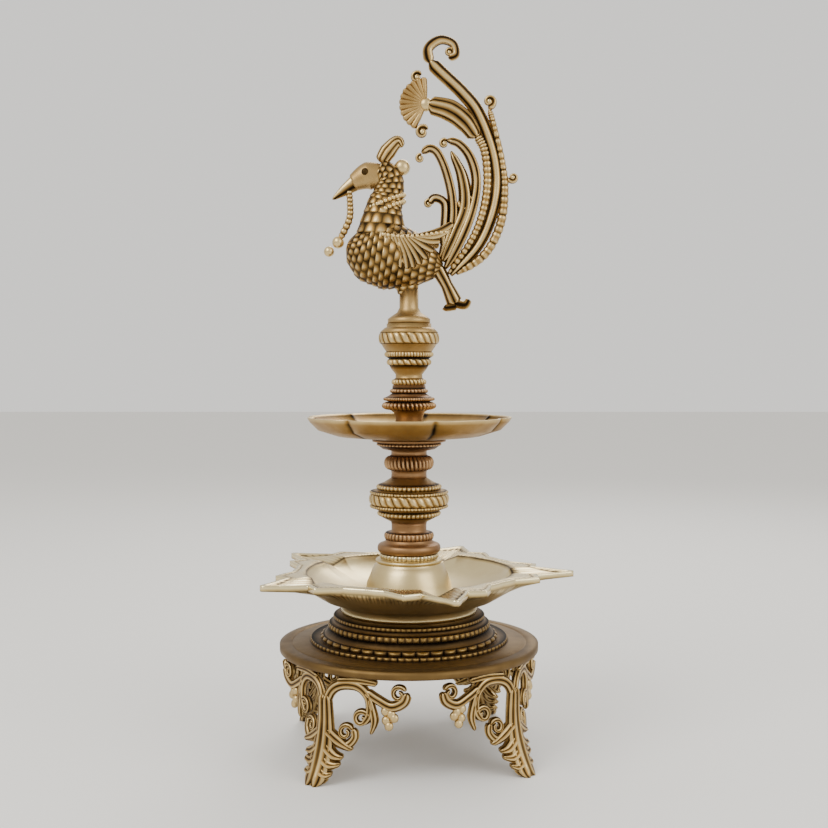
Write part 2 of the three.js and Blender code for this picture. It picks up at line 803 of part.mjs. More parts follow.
// The tuft that hangs behind the leg, ending in a small fan
function tuft() {
  return [
    ribbon([[20, 344], [27, 333], [32, 324]], [12, 8, 10], 6),
    new THREE.Shape(
      [[27.5, 326], [23, 317.5], [26, 314.5], [33, 313.5], [40, 316.5], [45, 324], [43, 326], [36, 328]].map(
        ([x, z]) => new THREE.Vector2(x, z),
      ),
    ),
  ];
}

// The tail, one flat casting with relief on both faces, with a tongue that enters the rump
function birdTail() {
  const half = tailThickness / 2;
  const shapes = plumes.map(([line, widths, steps]) => ribbon(line, widths, steps));
  for (const [x, z, radius] of tailScrolls) shapes.push(disc(x, z, radius, 14));
  const bridges = [
    ribbon([[9, 484], [14, 483], [20, 484]], [4, 4, 4], 3),
    ribbon([[10, 437], [11, 430]], [4, 4], 2),
    ribbon([[66, 404], [75, 406]], [4, 4], 2),
    ribbon([[16, 430], [24, 431]], [4, 4], 2),
  ];
  const root = new THREE.Shape(
    [[17, 340], [30, 336], [36, 342], [34, 356], [30, 366], [17, 366]].map(([x, z]) => new THREE.Vector2(x, z)),
  );
  const solids = [...shapes, ...bridges, root, fanOutline(), ...tuft()].map((shape) =>
    toSolid(upright(shape, -half, tailThickness)),
  );
  return toGeometry(largest(solids.reduce((joined, next) => joined.add(next))));
}

// The room that the bird's rump leaves for the tail, wider than the tail by the stud clearance all round
function tailSlot() {
  const slot = new THREE.Shape(
    [[14.6, 300], [90, 300], [90, 420], [14.6, 420]].map(([x, z]) => new THREE.Vector2(x, z)),
  );
  const half = tailThickness / 2 + studClearance;
  return upright(slot, -half, 2 * half);
}

const lamp = new THREE.Group();

function add(name, geometry, material, parent = lamp) {
  const mesh = new THREE.Mesh(geometry, material);
  mesh.name = name;
  parent.add(mesh);
  return mesh;
}

add("base_disc", baseDisc(), darkBrass);

const legGeometry = leg();
const screwGeometry = legScrew();
legAngles.forEach((angle, i) => {
  add(`leg_${i + 1}`, legGeometry, antiqueBrass).rotation.z = degrees(angle);
  screwPlaces(angle).forEach(([radius, turn], j) => {
    const screw = add(`leg_screw_${2 * i + j + 1}`, screwGeometry, studSteel);
    const at = polar(radius, turn);
    screw.position.set(at.x, at.y, 0);
  });
});

add("lower_stud", stud(studRadius, baseSeat - baseGrip, knopBottom + 8), studSteel);
add("lower_dish", lowerDish(), polishedBrass);
add("dome_collar", domeCollar(), polishedBrass);
add("lower_stem", lowerStem(), copperyBrass);
add("middle_knop", middleKnop(), antiqueBrass);
add("stem_top", stemTop(), copperyBrass);
add("upper_stud", stud(studRadius, knopBottom + 12, vaseBottom + stemGrip), studSteel);
add("upper_dish", upperDish(), antiqueBrass);
add("squat_bulb", squatBulb(), copperyBrass);
add("vase", vase(), antiqueBrass);
add("finial_stud", stud(finialStudRadius, vaseTop - finialGrip, birdBottom + finialGrip - 1), studSteel);
add("bird_body", birdBody(), antiqueBrass);
add("bird_tail", birdTail(), antiqueBrass);

// The origin lies under the middle of the whole lamp, so the column stands a little beside it
const extent = new THREE.Box3().setFromObject(lamp, true);
lamp.position.set(-(extent.min.x + extent.max.x) / 2, -(extent.min.y + extent.max.y) / 2, 0);

export default lamp;
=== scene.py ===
"""Oil lamp of cast and turned brass with a bird finial, drawn over its CAD frame, in metres."""

import math

import bpy
import numpy as np
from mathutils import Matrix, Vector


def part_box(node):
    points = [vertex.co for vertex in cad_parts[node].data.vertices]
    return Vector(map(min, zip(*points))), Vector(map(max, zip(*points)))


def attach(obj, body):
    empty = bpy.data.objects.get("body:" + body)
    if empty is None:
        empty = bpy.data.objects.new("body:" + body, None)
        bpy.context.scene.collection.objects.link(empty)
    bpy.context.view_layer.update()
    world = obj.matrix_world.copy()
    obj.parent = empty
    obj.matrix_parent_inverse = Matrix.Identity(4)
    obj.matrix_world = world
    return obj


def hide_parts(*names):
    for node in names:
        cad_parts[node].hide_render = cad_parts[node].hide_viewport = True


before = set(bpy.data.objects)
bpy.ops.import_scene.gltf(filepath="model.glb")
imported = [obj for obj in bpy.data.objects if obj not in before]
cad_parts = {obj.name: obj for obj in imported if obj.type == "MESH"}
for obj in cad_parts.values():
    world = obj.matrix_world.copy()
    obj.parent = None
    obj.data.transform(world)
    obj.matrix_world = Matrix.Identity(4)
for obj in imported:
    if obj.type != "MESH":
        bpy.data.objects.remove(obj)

bl_info = {
    "name": "Brass bird oil lamp",
    "version": (1, 0, 0),
    "blender": (4, 5, 0),
    "location": "View3D > Sidebar > Lamp",
    "description": "Builds a screw-together brass oil lamp with a bird finial",
    "category": "Add Mesh",
}

MM = 0.001

# The vertex attribute of the relief, from 0 in a recess to 1 on a peak, and a plain surface's value
RELIEF = "relief"
PLAIN = 0.62

# Angles in plan, in degrees: 0 faces the viewer and positive angles turn to the right
LEG_ANGLES = (-38, 52, 142, 232)
FIRST_SPOUT = 15
SPOUTS = 5
LOBES = 7

# The rim of the star dish: degrees from a spout's middle, and the distance from the column there
STAR_AWAY = (0, 0.8, 3.2, 10, 17, 26, 36)
STAR_RADIUS = (118, 118, 109, 92, 97, 84, 82)
VALLEY_RADIUS = 82
TIP_RADIUS = 118
CHANNEL_DEGREES = 9

# The lobed dish: its rim, how deep a notch cuts in, and where the lobes start and are full
LOBED_RIM = 74
NOTCH_DEPTH = 4.5
RIB_HEIGHT = 1.1
LOBES_START = 38
LOBES_BLEND = 30

# The legs: the turn of each wing, the ridge's radius, and the flare of the toe below its height
WING_TURN = 20
RIDGE_RADIUS = 93
TOE_FLARE = 13
FLARE_HEIGHT = 46
LEG_TOP = 71.6

# The fan of the tail: its centre, the first rib's angle and the step between ribs, in degrees
FAN_X, FAN_Z = 12, 461
FAN_START = 95
FAN_STEP = 13.2
FAN_RIBS = 12

# The camera, in metres from the column's foot, and its tilt from straight down, in degrees
CAMERA_RIGHT = 0.0036
CAMERA_BACK = 0.852
CAMERA_HEIGHT = 0.277
CAMERA_TILT = 87.58

# The bore of the turned pieces
BORE = 6.3

# A row of a turned profile is (radius, height), or for a half round
# (radius, lowest, highest, bulge, swellings all round, lean of the swellings)
BASE_ROWS = [
    (0.01, 80), (13, 80), (13, 93), (45, 93), (54, 79), (60, 72), (92, 72), (93, 73), (93, 77.2),
    (90, 77.6), (84.6, 77.9), (84, 77.3), (83.4, 77.9), (72, 78.6),
    (70, 78.7, 81.4, 1.2, 90, 0), (64, 79.8),
    (61.5, 80, 83.5, 2.4, 40, 0), (60.5, 84),
    (57, 88, 92, 1.4, 72, 0), (54.6, 93),
    (53.8, 95, 97.4, 0.8, 96, 0), (51, 99), (0.01, 99),
]
DOME_ROWS = [
    (BORE, 112.3), (32, 112.3), (32, 114.5), (31, 115.5), (30.4, 120), (27, 128), (25.2, 132.5),
    (23, 134),
    (23, 134.4, 137, 1, 0, 0), (21, 137.5),
    (20.4, 137.8, 141.0, 1, 40, 0), (BORE, 141.1), (BORE, 112.3),
]
LOWER_STEM_ROWS = [
    (BORE, 141.3), (20.5, 141.3),
    (20.5, 141.5, 148, 2.3, 0, 0), (17, 149.6), (17, 150.7),
    (16.6, 151, 156, 1.4, 36, 0), (13, 156.4), (12.6, 158), (12.6, 161.5), (13, 163.6),
    (BORE, 163.6), (BORE, 141.3),
]
KNOP_ROWS = [
    (BORE, 163.6), (13, 163.6), (18.5, 166.5),
    (21, 168, 171.6, 2, 44, 0), (26, 173.6),
    (27.2, 174, 176, 1.2, 72, 0),
    (27, 176.2, 183.8, 1.9, 30, 3),
    (27.2, 184, 186, 1.2, 72, 0), (24, 186.5),
    (21.4, 187, 190.6, 2.2, 44, 0), (18, 192), (13, 195.2), (BORE, 195.2), (BORE, 163.6),
]
STEM_TOP_ROWS = [
    (BORE, 195.2), (13, 195.2), (12.6, 198), (13, 200.6),
    (14, 201, 211, 4, 34, 2), (12.8, 212), (12.8, 214.8), (19, 216),
    (22, 218.4, 220.4, 1.4, 50, 0), (26.4, 221.4), (26.5, 223), (BORE, 223), (BORE, 195.2),
]
SQUAT_BULB_ROWS = [
    (BORE, 226.2), (10.5, 226.2), (10, 230), (9.6, 238), (11, 242), (13, 243.6),
    (14.5, 244, 250, 5.2, 36, 1.2),
    (17, 250.6, 253, 1.6, 60, 0), (15, 254),
    (12, 256, 259, 1.8, 30, 0), (11.8, 261.7), (BORE, 261.7), (BORE, 226.2),
]
VASE_ROWS = [
    (BORE, 261.7), (10.6, 261.7),
    (10.8, 261.9, 266, 1.8, 26, 1.5), (9.6, 267), (9.6, 269.5), (12.5, 273),
    (14.2, 276, 280.5, 2.0, 20, 2),
    (16.4, 282, 285.4, 1.3, 48, 0), (16.6, 286), (18.6, 289), (19.8, 291),
    (20.4, 291.4, 299, 1.5, 24, 3), (21, 299.4), (17.5, 302.6), (16, 303.2), (16, 305.7),
    (4.3, 305.7), (4.3, 290.7), (0.01, 290.7), (0.01, 277.7), (BORE, 277.7), (BORE, 261.7),
]
PLINTH_ROWS = [
    (0.01, 306), (15.2, 306), (15.2, 309), (12.5, 311), (8.6, 313.6), (6.8, 317), (6.8, 330),
    (0.01, 330),
]

# The column from the dish upwards: name, finish, body, CAD node, material slot and profile
COLUMN = [
    ("brass_dome", "polished", "lower_dish", "dome_collar", "polished_brass", DOME_ROWS),
    ("brass_lower_stem", "coppery", "stem", "lower_stem", "coppery_brass", LOWER_STEM_ROWS),
    ("brass_middle_knop", "antique", "stem", "middle_knop", "antique_brass", KNOP_ROWS),
    ("brass_stem_top", "coppery", "stem", "stem_top", "coppery_brass", STEM_TOP_ROWS),
    ("brass_squat_bulb", "coppery", "vase", "squat_bulb", "coppery_brass", SQUAT_BULB_ROWS),
    ("brass_vase", "antique", "vase", "vase", "antique_brass", VASE_ROWS),
]

# The rings of the star dish: radius, height, share of the star, depth of the channels, relief
STAR_RINGS = [
    (6.3, 99.3, 0, 0, 0.5), (48.6, 99.3, 0, 0, 0.5), (49, 101, 0, 0, 0.9), (49, 105.3, 0, 0, 0.3),
    (62, 109.5, 0, 0, 0.5), (76, 118, 0, 0, 0.5), (80, 122, 0.4, 0, 0.5), (82, 125, 1, 0, 0.3),
    (82, 127.6, 1, 0.1, 1), (82, 129, 1, 0.4, 1), (80.2, 129, 0.97, 1, 0.9),
    (79, 128.3, 0.9, 3, 0.1), (77.5, 128.9, 0.75, 4, 0.9), (75, 128.9, 0.3, 5, 0.75),
    (73.6, 128.2, 0.05, 5, 0.1), (72.4, 126, 0, 3.5, 0.75), (69, 122.5, 0, 1.5, 0.75),
    (58, 116.5, 0, 0, 0.75), (44, 112.2, 0, 0, 0.75), (33, 112, 0, 0, 0.6), (6.3, 112, 0, 0, 0.5),
]

# The rings of the lobed dish: radius, height, relief
LOBED_RINGS = [
    (6.3, 223.3, 0.4), (28, 223.3, 0.4), (52, 225.6, 0.5), (66, 230, 0.5), (72, 236, 0.5),
    (73.6, 238.6, 0.8), (73.6, 239, 1), (72, 239, 1), (70.6, 237.6, 0.3), (64, 231.8, 0.8),
    (50, 228.4, 0.85), (40, 226.2, 0.85), (12, 225.9, 0.5), (6.3, 225.9, 0.4),
]

# The strands of the tail: line, widths, flutes, beads
TAIL_STRANDS = [
    ([[34, 341], [54, 355], [65, 376], [68, 400], [66, 421], [60, 447], [57, 458]],
     [6, 7, 7, 6, 5, 4.5], 0, 34),
    ([[30, 340], [49, 361], [59, 384], [62.5, 407], [59, 430], [49, 455], [38, 469], [22, 484],
      [15, 491]], [6, 8, 9, 9, 9, 9, 9], 4, 0),
    ([[15, 490], [14, 500], [22, 506], [31, 503.5], [33, 496], [28, 493.5]],
     [8, 7, 6, 5.5, 5], 3, 0),
    ([[28, 341], [43, 362], [52, 382], [56, 405], [54, 428], [48, 440]], [5, 6, 7, 7, 8], 0, 30),
    ([[48, 438], [40, 449], [29, 457], [14, 461]], [10, 14, 15, 12], 7, 0),
    ([[26, 345], [37, 366], [45, 387], [48, 407], [44, 423], [36, 433], [27, 436]],
     [7, 8, 7, 7, 6, 5], 5, 0),
    ([[24, 350], [33, 370], [40, 389], [38, 410], [30, 428]], [8, 9, 10, 8, 4], 6, 0),
    ([[22, 352], [30, 373], [31, 393], [27, 412], [21, 426], [15, 430], [9, 427]],
     [6, 7, 6.5, 6, 6, 5], 5, 0),
    ([[24, 360], [26, 386], [24, 393], [18, 395], [14, 391]], [6, 6, 6, 5], 4, 0),
    ([[20, 346], [27, 333], [33, 320]], [10, 8, 11], 6, 0),
    ([[34, 318], [27, 317], [25, 318]], [5, 5, 4], 2, 0),
    ([[33, 320], [40, 319], [43, 323]], [6, 6, 4], 2, 0),
]

# The scroll ends of the tail: x, z, radius and the angle at which the spiral starts, in radians
TAIL_SCROLLS = [
    (57, 463, 6, 4.5), (74, 409.5, 5, 3.2), (28.5, 497.5, 4.6, 5.5), (5.5, 480, 5.3, 0.5),
    (9.5, 441.5, 6, 0.5), (25, 433.5, 4.6, 0.8), (8, 423, 4.4, 1.2), (41.2, 392.5, 7.2, 3),
    (14, 391, 4.4, 0.8),
]

# The acanthus leaf of a leg's wing: its rib first, then its lobes, as line and widths
LEAF = [
    ([[2.5, 58], [3, 40], [4, 20], [3.5, 0]], [7, 9, 13, 14]),
    ([[3, 34], [12, 28], [23, 23.5]], [8, 8, 3]),
    ([[3, 24], [10, 19], [17.5, 18]], [9, 8, 3]),
    ([[3, 16], [9, 13], [16.5, 14]], [9, 7, 3]),
    ([[3, 9], [8, 7], [12.5, 8]], [9, 6, 3]),
]
BERRIES = [(44, 44), (49.5, 46), (46, 40.5), (47.5, 48.5), (43.5, 50)]

# The soft boxes: name, place and size in metres, power in watts
LIGHTS = [
    ("key", (-0.9, -0.9, 1.3), 0.9, 16),
    ("fill", (1.1, -0.8, 0.8), 1.0, 9),
    ("rim", (0.3, 1.1, 1.2), 0.8, 9),
]

# The finishes: material name, colours of the recesses, of the surface and of the peaks, roughness
FINISHES = {
    "antique": ("Antique cast brass", "#1E150C", None, "#D9C08A", 0.32),
    # The dark finish is the brass darkened all over as painted shade for the base disc, which lies
    # in the star dish's shadow; patina still fills its recesses
    "dark": ("Brass darkened with painted shade", "#17110B", "#5A452A", "#8F7444", 0.38),
    "polished": ("Polished turned brass", "#3B2C18", "#C4AC78", "#E2D2A4", 0.22),
    "coppery": ("Coppery chased brass", "#1C1109", "#7C5A3A", "#B8946A", 0.34),
}


def axis():
    """The column's place in plan, in metres: the middle of the round base."""
    low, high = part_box("base_disc")
    return (low.x + high.x) / 2, (low.y + high.y) / 2


class Piece:
    """Collects closed surfaces, in millimetres about the column, and makes one object of them."""

    def __init__(self):
        self.points, self.faces, self.relief, self.count = [], [], [], 0

    def grid(self, points, relief, wrap=False):
        """A closed skin over rings of points: point (i, j) is ring i, place j round the ring.
        With wrap the last ring meets the first; else a pole at its mean closes each end ring."""
        rings, around = points.shape[:2]
        index = np.arange(rings * around).reshape(rings, around)
        low = index if wrap else index[:-1]
        high = np.roll(index, -1, 0) if wrap else index[1:]
        quads = np.stack([low, np.roll(low, -1, 1), np.roll(high, -1, 1), high], -1).reshape(-1, 4)
        flat = points.reshape(-1, 3)
        high_low = relief.reshape(-1)
        faces = [quads]
        if not wrap:
            start, end = len(flat), len(flat) + 1
            flat = np.vstack([flat, points[0].mean(0), points[-1].mean(0)])
            high_low = np.append(high_low, [relief[0].mean(), relief[-1].mean()])
            first, last = index[0], index[-1]
            faces.append(np.stack([np.roll(first, -1), first, np.full(around, start)], -1))
            faces.append(np.stack([last, np.roll(last, -1), np.full(around, end)], -1))
        volume = sum(self.signed(flat, part) for part in faces)
        if volume < 0:
            faces = [part[:, ::-1] for part in faces]
        self.faces += [part + self.count for part in faces]
        self.points.append(flat)
        self.relief.append(high_low)
        self.count += len(flat)

    @staticmethod
    def signed(points, faces):
        """Six times the volume that fans of the faces close with the origin."""
        a = points[faces[:, 0]]
        total = 0.0
        for k in range(1, faces.shape[1] - 1):
            across = np.cross(points[faces[:, k]], points[faces[:, k + 1]])
            total += np.einsum("ij,ij->i", a, across).sum()
        return total

    def make(self, name, material, body, nodes):
        """The object, in metres about the column, riding on a body in place of its CAD nodes."""
        x, y = axis()
        points = np.vstack(self.points) * MM + np.array([x, y, 0.0])
        mesh = bpy.data.meshes.new(name)
        faces = [row for part in self.faces for row in part.tolist()]
        mesh.from_pydata(points.tolist(), [], faces)
        mesh.polygons.foreach_set("use_smooth", np.ones(len(mesh.polygons), bool))
        layer = mesh.attributes.new(RELIEF, "FLOAT", "POINT")
        relief = np.clip(np.concatenate(self.relief), 0, 1).astype(np.float32)
        layer.data.foreach_set("value", relief)
        mesh.materials.append(material)
        obj = bpy.data.objects.new(name, mesh)
        bpy.context.scene.collection.objects.link(obj)
        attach(obj, body)
        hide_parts(*nodes)
        return obj


def smooth_line(line, steps):
    """Points of a smooth line through the given ones: a Catmull-Rom cubic between each pair."""
    line = np.array(line, float)
    ends = np.vstack([2 * line[0] - line[1], line, 2 * line[-1] - line[-2]])
    at = np.linspace(0, len(line) - 1, steps)
    i = np.minimum(at.astype(int), len(line) - 2)
    t = (at - i)[:, None]
    a, b, c, d = ends[i], ends[i + 1], ends[i + 2], ends[i + 3]
    square = (2 * a - 5 * b + 4 * c - d) * t**2
    cube = (3 * b - a - 3 * c + d) * t**3
    return 0.5 * (2 * b + (c - a) * t + square + cube)


def sweep(piece, line, widths, depth, steps=40, around=24, flutes=0, beads=0, scales=0, side=0.0):
    """An oval swept along a smooth line in the XZ plane, side millimetres behind it.
    Its half width follows widths and falls off as a square root at both ends. Its half depth is
    depth times that, or depth itself where depth is over 1.5, up to 1.6 times the half width.
    Flutes cut grooves along it, as the cosine of so many turns; beads swell it along its length,
    as the sine's absolute value; scales cover it with staggered rows, each one minus the distance
    from its root."""
    centre = smooth_line(line, steps)
    along = np.gradient(centre, axis=0)
    along /= np.linalg.norm(along, axis=1)[:, None] + 1e-9
    half = np.interp(np.linspace(0, 1, steps), np.linspace(0, 1, len(widths)), widths) / 2
    share = np.linspace(0, 1, steps)
    half = half * np.minimum(1, np.sqrt(np.clip(np.minimum(share, 1 - share) * 14 + 0.12, 0, 1)))
    deep = half * depth if depth <= 1.5 else np.minimum(depth, half * 1.6)
    turn = np.linspace(0, 2 * np.pi, around, endpoint=False)
    pattern = np.full((steps, around), PLAIN)
    swell = np.ones((steps, around))
    if flutes:
        wave = np.cos(flutes * turn)[None, :] * np.ones((steps, 1))
        swell += 0.09 * wave
        pattern = 0.5 + 0.45 * wave
    if beads:
        wave = np.abs(np.sin(beads * np.pi * share))[:, None] * np.ones((1, around))
        swell *= 0.72 + 0.28 * wave
        pattern = 0.05 + 0.9 * wave
    if scales:
        rows = share[:, None] * scales
        across = turn[None, :] / (2 * np.pi) * around / 6 + 0.5 * (np.floor(rows) % 2)
        a = (across % 1) - 0.5
        b = rows % 1
        wave = np.clip(1 - np.sqrt((2 * a) ** 2 + b**2), 0, 1)
        swell *= 0.97 + 0.05 * wave
        pattern = 0.15 + 0.95 * wave
    out_x = -along[:, 1:2] * half[:, None] * np.cos(turn) * swell
    out_z = along[:, 0:1] * half[:, None] * np.cos(turn) * swell
    out_y = deep[:, None] * np.sin(turn) * swell
    points = np.stack([centre[:, 0:1] + out_x, out_y + side, centre[:, 1:2] + out_z], -1)
    piece.grid(points, pattern)


def ball(piece, x, y, z, radius, relief=0.95, flat=1.0):
    """A small ball; flat times its radius is its half depth along Y."""
    up = np.linspace(0.12, np.pi - 0.12, 7)[:, None]
    turn = np.linspace(0, 2 * np.pi, 10, endpoint=False)[None, :]
    ring = np.sin(up) * np.cos(turn)
    points = np.stack([x + radius * ring, y + flat * radius * np.sin(up) * np.sin(turn),
                       z + radius * np.cos(up) + 0 * ring], -1)
    piece.grid(points, np.full(ring.shape, relief))


def turned(piece, rows, around=256):
    """A profile turned about the column. The bulge of a half round follows the sine of its height,
    times the 0.6th power of the cosine's absolute value where it swells in beads round the ring."""
    spans = 8
    table = []
    for row in rows:
        if len(row) == 2:
            table.append((row[0], row[1], 0, 0, 0))
            continue
        base, low, high, bulge, number, lean = row
        for k in range(spans + 1):
            t = math.pi * k / spans
            height = low + (high - low) * (1 - math.cos(t)) / 2
            table.append((base, height, bulge * math.sin(t), number, lean * k / spans))
    radius, height, swell, count, twist = np.array(table, float).T[:, :, None]
    turn = np.linspace(0, 2 * np.pi, around, endpoint=False)[None, :]
    wave = np.where(count > 0, np.abs(np.cos((count * turn) / 2 + twist)) ** 0.6, 1.0)
    out = np.maximum(radius + swell * wave, 0.01)
    peaks = 0.04 + 0.92 * wave * np.clip(swell / np.maximum(swell, 0.5), 0, 1)
    relief = np.where(count > 0, peaks, PLAIN) + 0 * turn
    closed = np.hypot(radius[0] - radius[-1], height[0] - height[-1])[0] < 1e-6
    points = np.stack([out * np.sin(turn), -out * np.cos(turn), height + 0 * turn], -1)
    if closed:
        points, relief = points[:-1], relief[:-1]
    piece.grid(points, relief, wrap=closed)


def colour(code):
    """A hex code as linear red, green, blue and alpha."""
    values = [int(code[i:i + 2], 16) / 255 for i in (1, 3, 5)]
    return [v / 12.92 if v <= 0.04045 else ((v + 0.055) / 1.055) ** 2.4 for v in values] + [1.0]


def node(tree, kind, **values):
    """Adds a node and sets its inputs and properties by name."""
    made = tree.nodes.new(kind)
    for key, value in values.items():
        if key in made.inputs:
            made.inputs[key].default_value = value
        else:
            setattr(made, key, value)
    return made


def brass(name, dark, middle, bright, rough, grime=0.35):
    """Cast brass: patina lies in the recesses of the relief and wears off its high places.
    Grime is how much slow noise shifts the relief, so that the patina lies unevenly."""
    material = bpy.data.materials.new(name)
    material.use_nodes = True
    tree = material.node_tree
    shader = tree.nodes["Principled BSDF"]
    relief = node(tree, "ShaderNodeAttribute", attribute_name=RELIEF)
    place = node(tree, "ShaderNodeTexCoord")
    patches = node(tree, "ShaderNodeTexNoise", Scale=70.0, Detail=6.0)
    grain = node(tree, "ShaderNodeTexNoise", Scale=900.0, Detail=3.0)
    scaled = node(tree, "ShaderNodeMath", operation="MULTIPLY_ADD")
    scaled.inputs[1].default_value = grime
    scaled.inputs[2].default_value = -grime / 2
    total = node(tree, "ShaderNodeMath", operation="ADD")
    ramp = node(tree, "ShaderNodeValToRGB")
    ramp.color_ramp.elements[0].color = colour(dark)
    ramp.color_ramp.elements[0].position = 0.12
    ramp.color_ramp.elements[1].color = colour(bright)
    ramp.color_ramp.elements[1].position = 0.98
    ramp.color_ramp.elements.new(0.5).color = colour(middle)
    polish = node(tree, "ShaderNodeMapRange")
    polish.inputs["To Min"].default_value = min(rough + 0.3, 0.8)
    polish.inputs["To Max"].default_value = rough
    bump = node(tree, "ShaderNodeBump", Strength=0.12, Distance=0.0004)
    link = tree.links.new
    link(place.outputs["Object"], patches.inputs["Vector"])
    link(place.outputs["Object"], grain.inputs["Vector"])
    link(patches.outputs["Fac"], scaled.inputs[0])
    link(scaled.outputs[0], total.inputs[0])
    link(relief.outputs["Fac"], total.inputs[1])
    link(total.outputs[0], ramp.inputs["Fac"])
    link(total.outputs[0], polish.inputs["Value"])
    link(ramp.outputs["Color"], shader.inputs["Base Color"])
    link(polish.outputs["Result"], shader.inputs["Roughness"])
    link(grain.outputs["Fac"], bump.inputs["Height"])
    link(bump.outputs["Normal"], shader.inputs["Normal"])
    shader.inputs["Metallic"].default_value = 1.0
    return material


def finish_of(kind):
    """The material of one finish, made once."""
    name, dark, middle, bright, rough = FINISHES[kind]
    middle = middle or bpy.context.scene.bird_lamp.brass_colour
    return bpy.data.materials.get(name) or brass(name, dark, middle, bright, rough)


def build_base():
    """The stepped disc with its bead rings."""
    piece = Piece()
    turned(piece, BASE_ROWS, 480)
    # The base disc takes the dark finish: painted shade from the star dish overhanging it
    piece.make("brass_base_disc", finish_of("dark"), "base", ["base_disc"])


def build_column():
    """The dome, stem, knop, bulbs and vase, each turned and chased with beads and gadroons."""
    for name, kind, body, cad, slot, rows in COLUMN:
        piece = Piece()
        turned(piece, rows)
        piece.make(name, finish_of(kind), body, [cad])


def spout_away(turn):
    """Degrees from the nearest spout's middle."""
    step = 360 / SPOUTS
    return np.abs((np.degrees(turn) - FIRST_SPOUT + step / 2) % step - step / 2)


def ringed(turn, rings):
    """Rings of points, one per (distances, heights, relief), and their relief."""
    points = [np.stack([o * np.sin(turn), -o * np.cos(turn), z], -1) for o, z, _ in rings]
    return np.stack(points), np.stack([relief for _, _, relief in rings])


def build_star_dish():
    """The star dish as rings of one outline, blended from round to the star, which is straight
    between the tip, ear and valley of each spout. A V channel runs out along each spout."""
    turn = np.linspace(0, 2 * np.pi, 720, endpoint=False)
    away = spout_away(turn)
    star = np.interp(away, STAR_AWAY, STAR_RADIUS)
    channel = np.clip(1 - away / CHANNEL_DEGREES, 0, 1)
    rings = []
    for radius, height, share, sink, relief in STAR_RINGS:
        out = radius + share * (star - VALLEY_RADIUS) * (radius / VALLEY_RADIUS)
        hatch = 0.25 * np.sign(np.sin(turn * 180)) if 0.2 < share < 0.95 else 0
        z = height - sink * channel * np.clip((TIP_RADIUS - out) / 40 + 0.25, 0.2, 1)
        rings.append((out, z, np.clip(relief + hatch * np.ones(len(turn)), 0, 1)))
    piece = Piece()
    piece.grid(*ringed(turn, rings), wrap=True)
    polished = finish_of("polished")
    piece.make("brass_star_dish", polished, "lower_dish", ["lower_dish"])


def build_lobed_dish():
    """The lobed dish as rings of one outline: each notch is the cube of one minus the sine across
    the lobe, and each rib between two lobes is a narrow bell curve."""
    turn = np.linspace(0, 2 * np.pi, 720, endpoint=False)
    share = ((np.degrees(turn) - FIRST_SPOUT) / (360 / LOBES)) % 1
    notch = (1 - np.sin(np.pi * share)) ** 3
    ribs = np.exp(-((np.minimum(share, 1 - share) / 0.03) ** 2))
    rings = []
    for radius, height, relief in LOBED_RINGS:
        lobed = np.clip((radius - LOBES_START) / LOBES_BLEND, 0, 1)
        out = radius - NOTCH_DEPTH * notch * (radius / LOBED_RIM) * lobed
        z = height + RIB_HEIGHT * ribs * lobed * (relief > 0.7) * (height < 238)
        rings.append((out, z, np.clip(relief - 0.35 * ribs, 0, 1)))
    piece = Piece()
    piece.grid(*ringed(turn, rings), wrap=True)
    antique = finish_of("antique")
    piece.make("brass_lobed_dish", antique, "upper_dish", ["upper_dish"])


def build_dishes():
    """Both dishes."""
    build_star_dish()
    build_lobed_dish()


def spiral(x, z, radius, turns, start, lean=1):
    """Points of a spiral from the rim to near its centre."""
    t = np.linspace(0, 1, 14)
    angle = start + lean * t * turns * 2 * np.pi
    size = radius * (1 - 0.82 * t)
    return np.stack([x + size * np.cos(angle), z + size * np.sin(angle)], -1)


def leg_wing():
    """One scrolled wing with its half of the leaf, before it is turned back from the ridge."""
    wing = Piece()
    for line, widths in [
        ([[1, 50], [6, 61], [14, 65.5], [25, 65], [32, 58], [32.5, 47], [28, 40]],
         [6, 7, 7.5, 7, 6, 5]),
        ([[30, 62], [39, 57], [48, 53.5], [56, 57], [59, 63]], [7, 7, 7, 6]),
        ([[2, 46], [4, 36], [10, 28], [18, 26], [23, 31], [22, 37]], [5.5, 5.5, 6, 5]),
        ([[33, 58], [36, 44], [34, 34]], [4, 6, 2]),
        (spiral(27, 43.5, 6, 1.2, 0.2), [4.5, 2.5]),
        (spiral(53, 62, 5.5, 1.2, 0.5), [4, 2.2]),
        (spiral(16.5, 34, 5.3, 1.2, 0.4), [4, 2.2]),
        ([[10, 68], [24, 69], [38, 68]], [5, 6, 5]),
    ]:
        sweep(wing, line, widths, 2.6, steps=44, around=24, flutes=6, side=2.6)
    for x, z in BERRIES:
        ball(wing, x, 2.6, z, 3.2, 0.85, 0.8)
    for line, widths in LEAF:
        sweep(wing, line, widths, 3.4, steps=30, around=24, flutes=7, side=2.4)
    for k in range(6):
        ball(wing, 2 + 0.3 * k, 5.6, 44 + 2.4 * k, 1.3, 1.0)
    return wing


def turn_about_z(x, y, angle):
    """A place in plan turned by an angle in degrees."""
    a = math.radians(angle)
    return x * math.cos(a) - y * math.sin(a), x * math.sin(a) + y * math.cos(a)


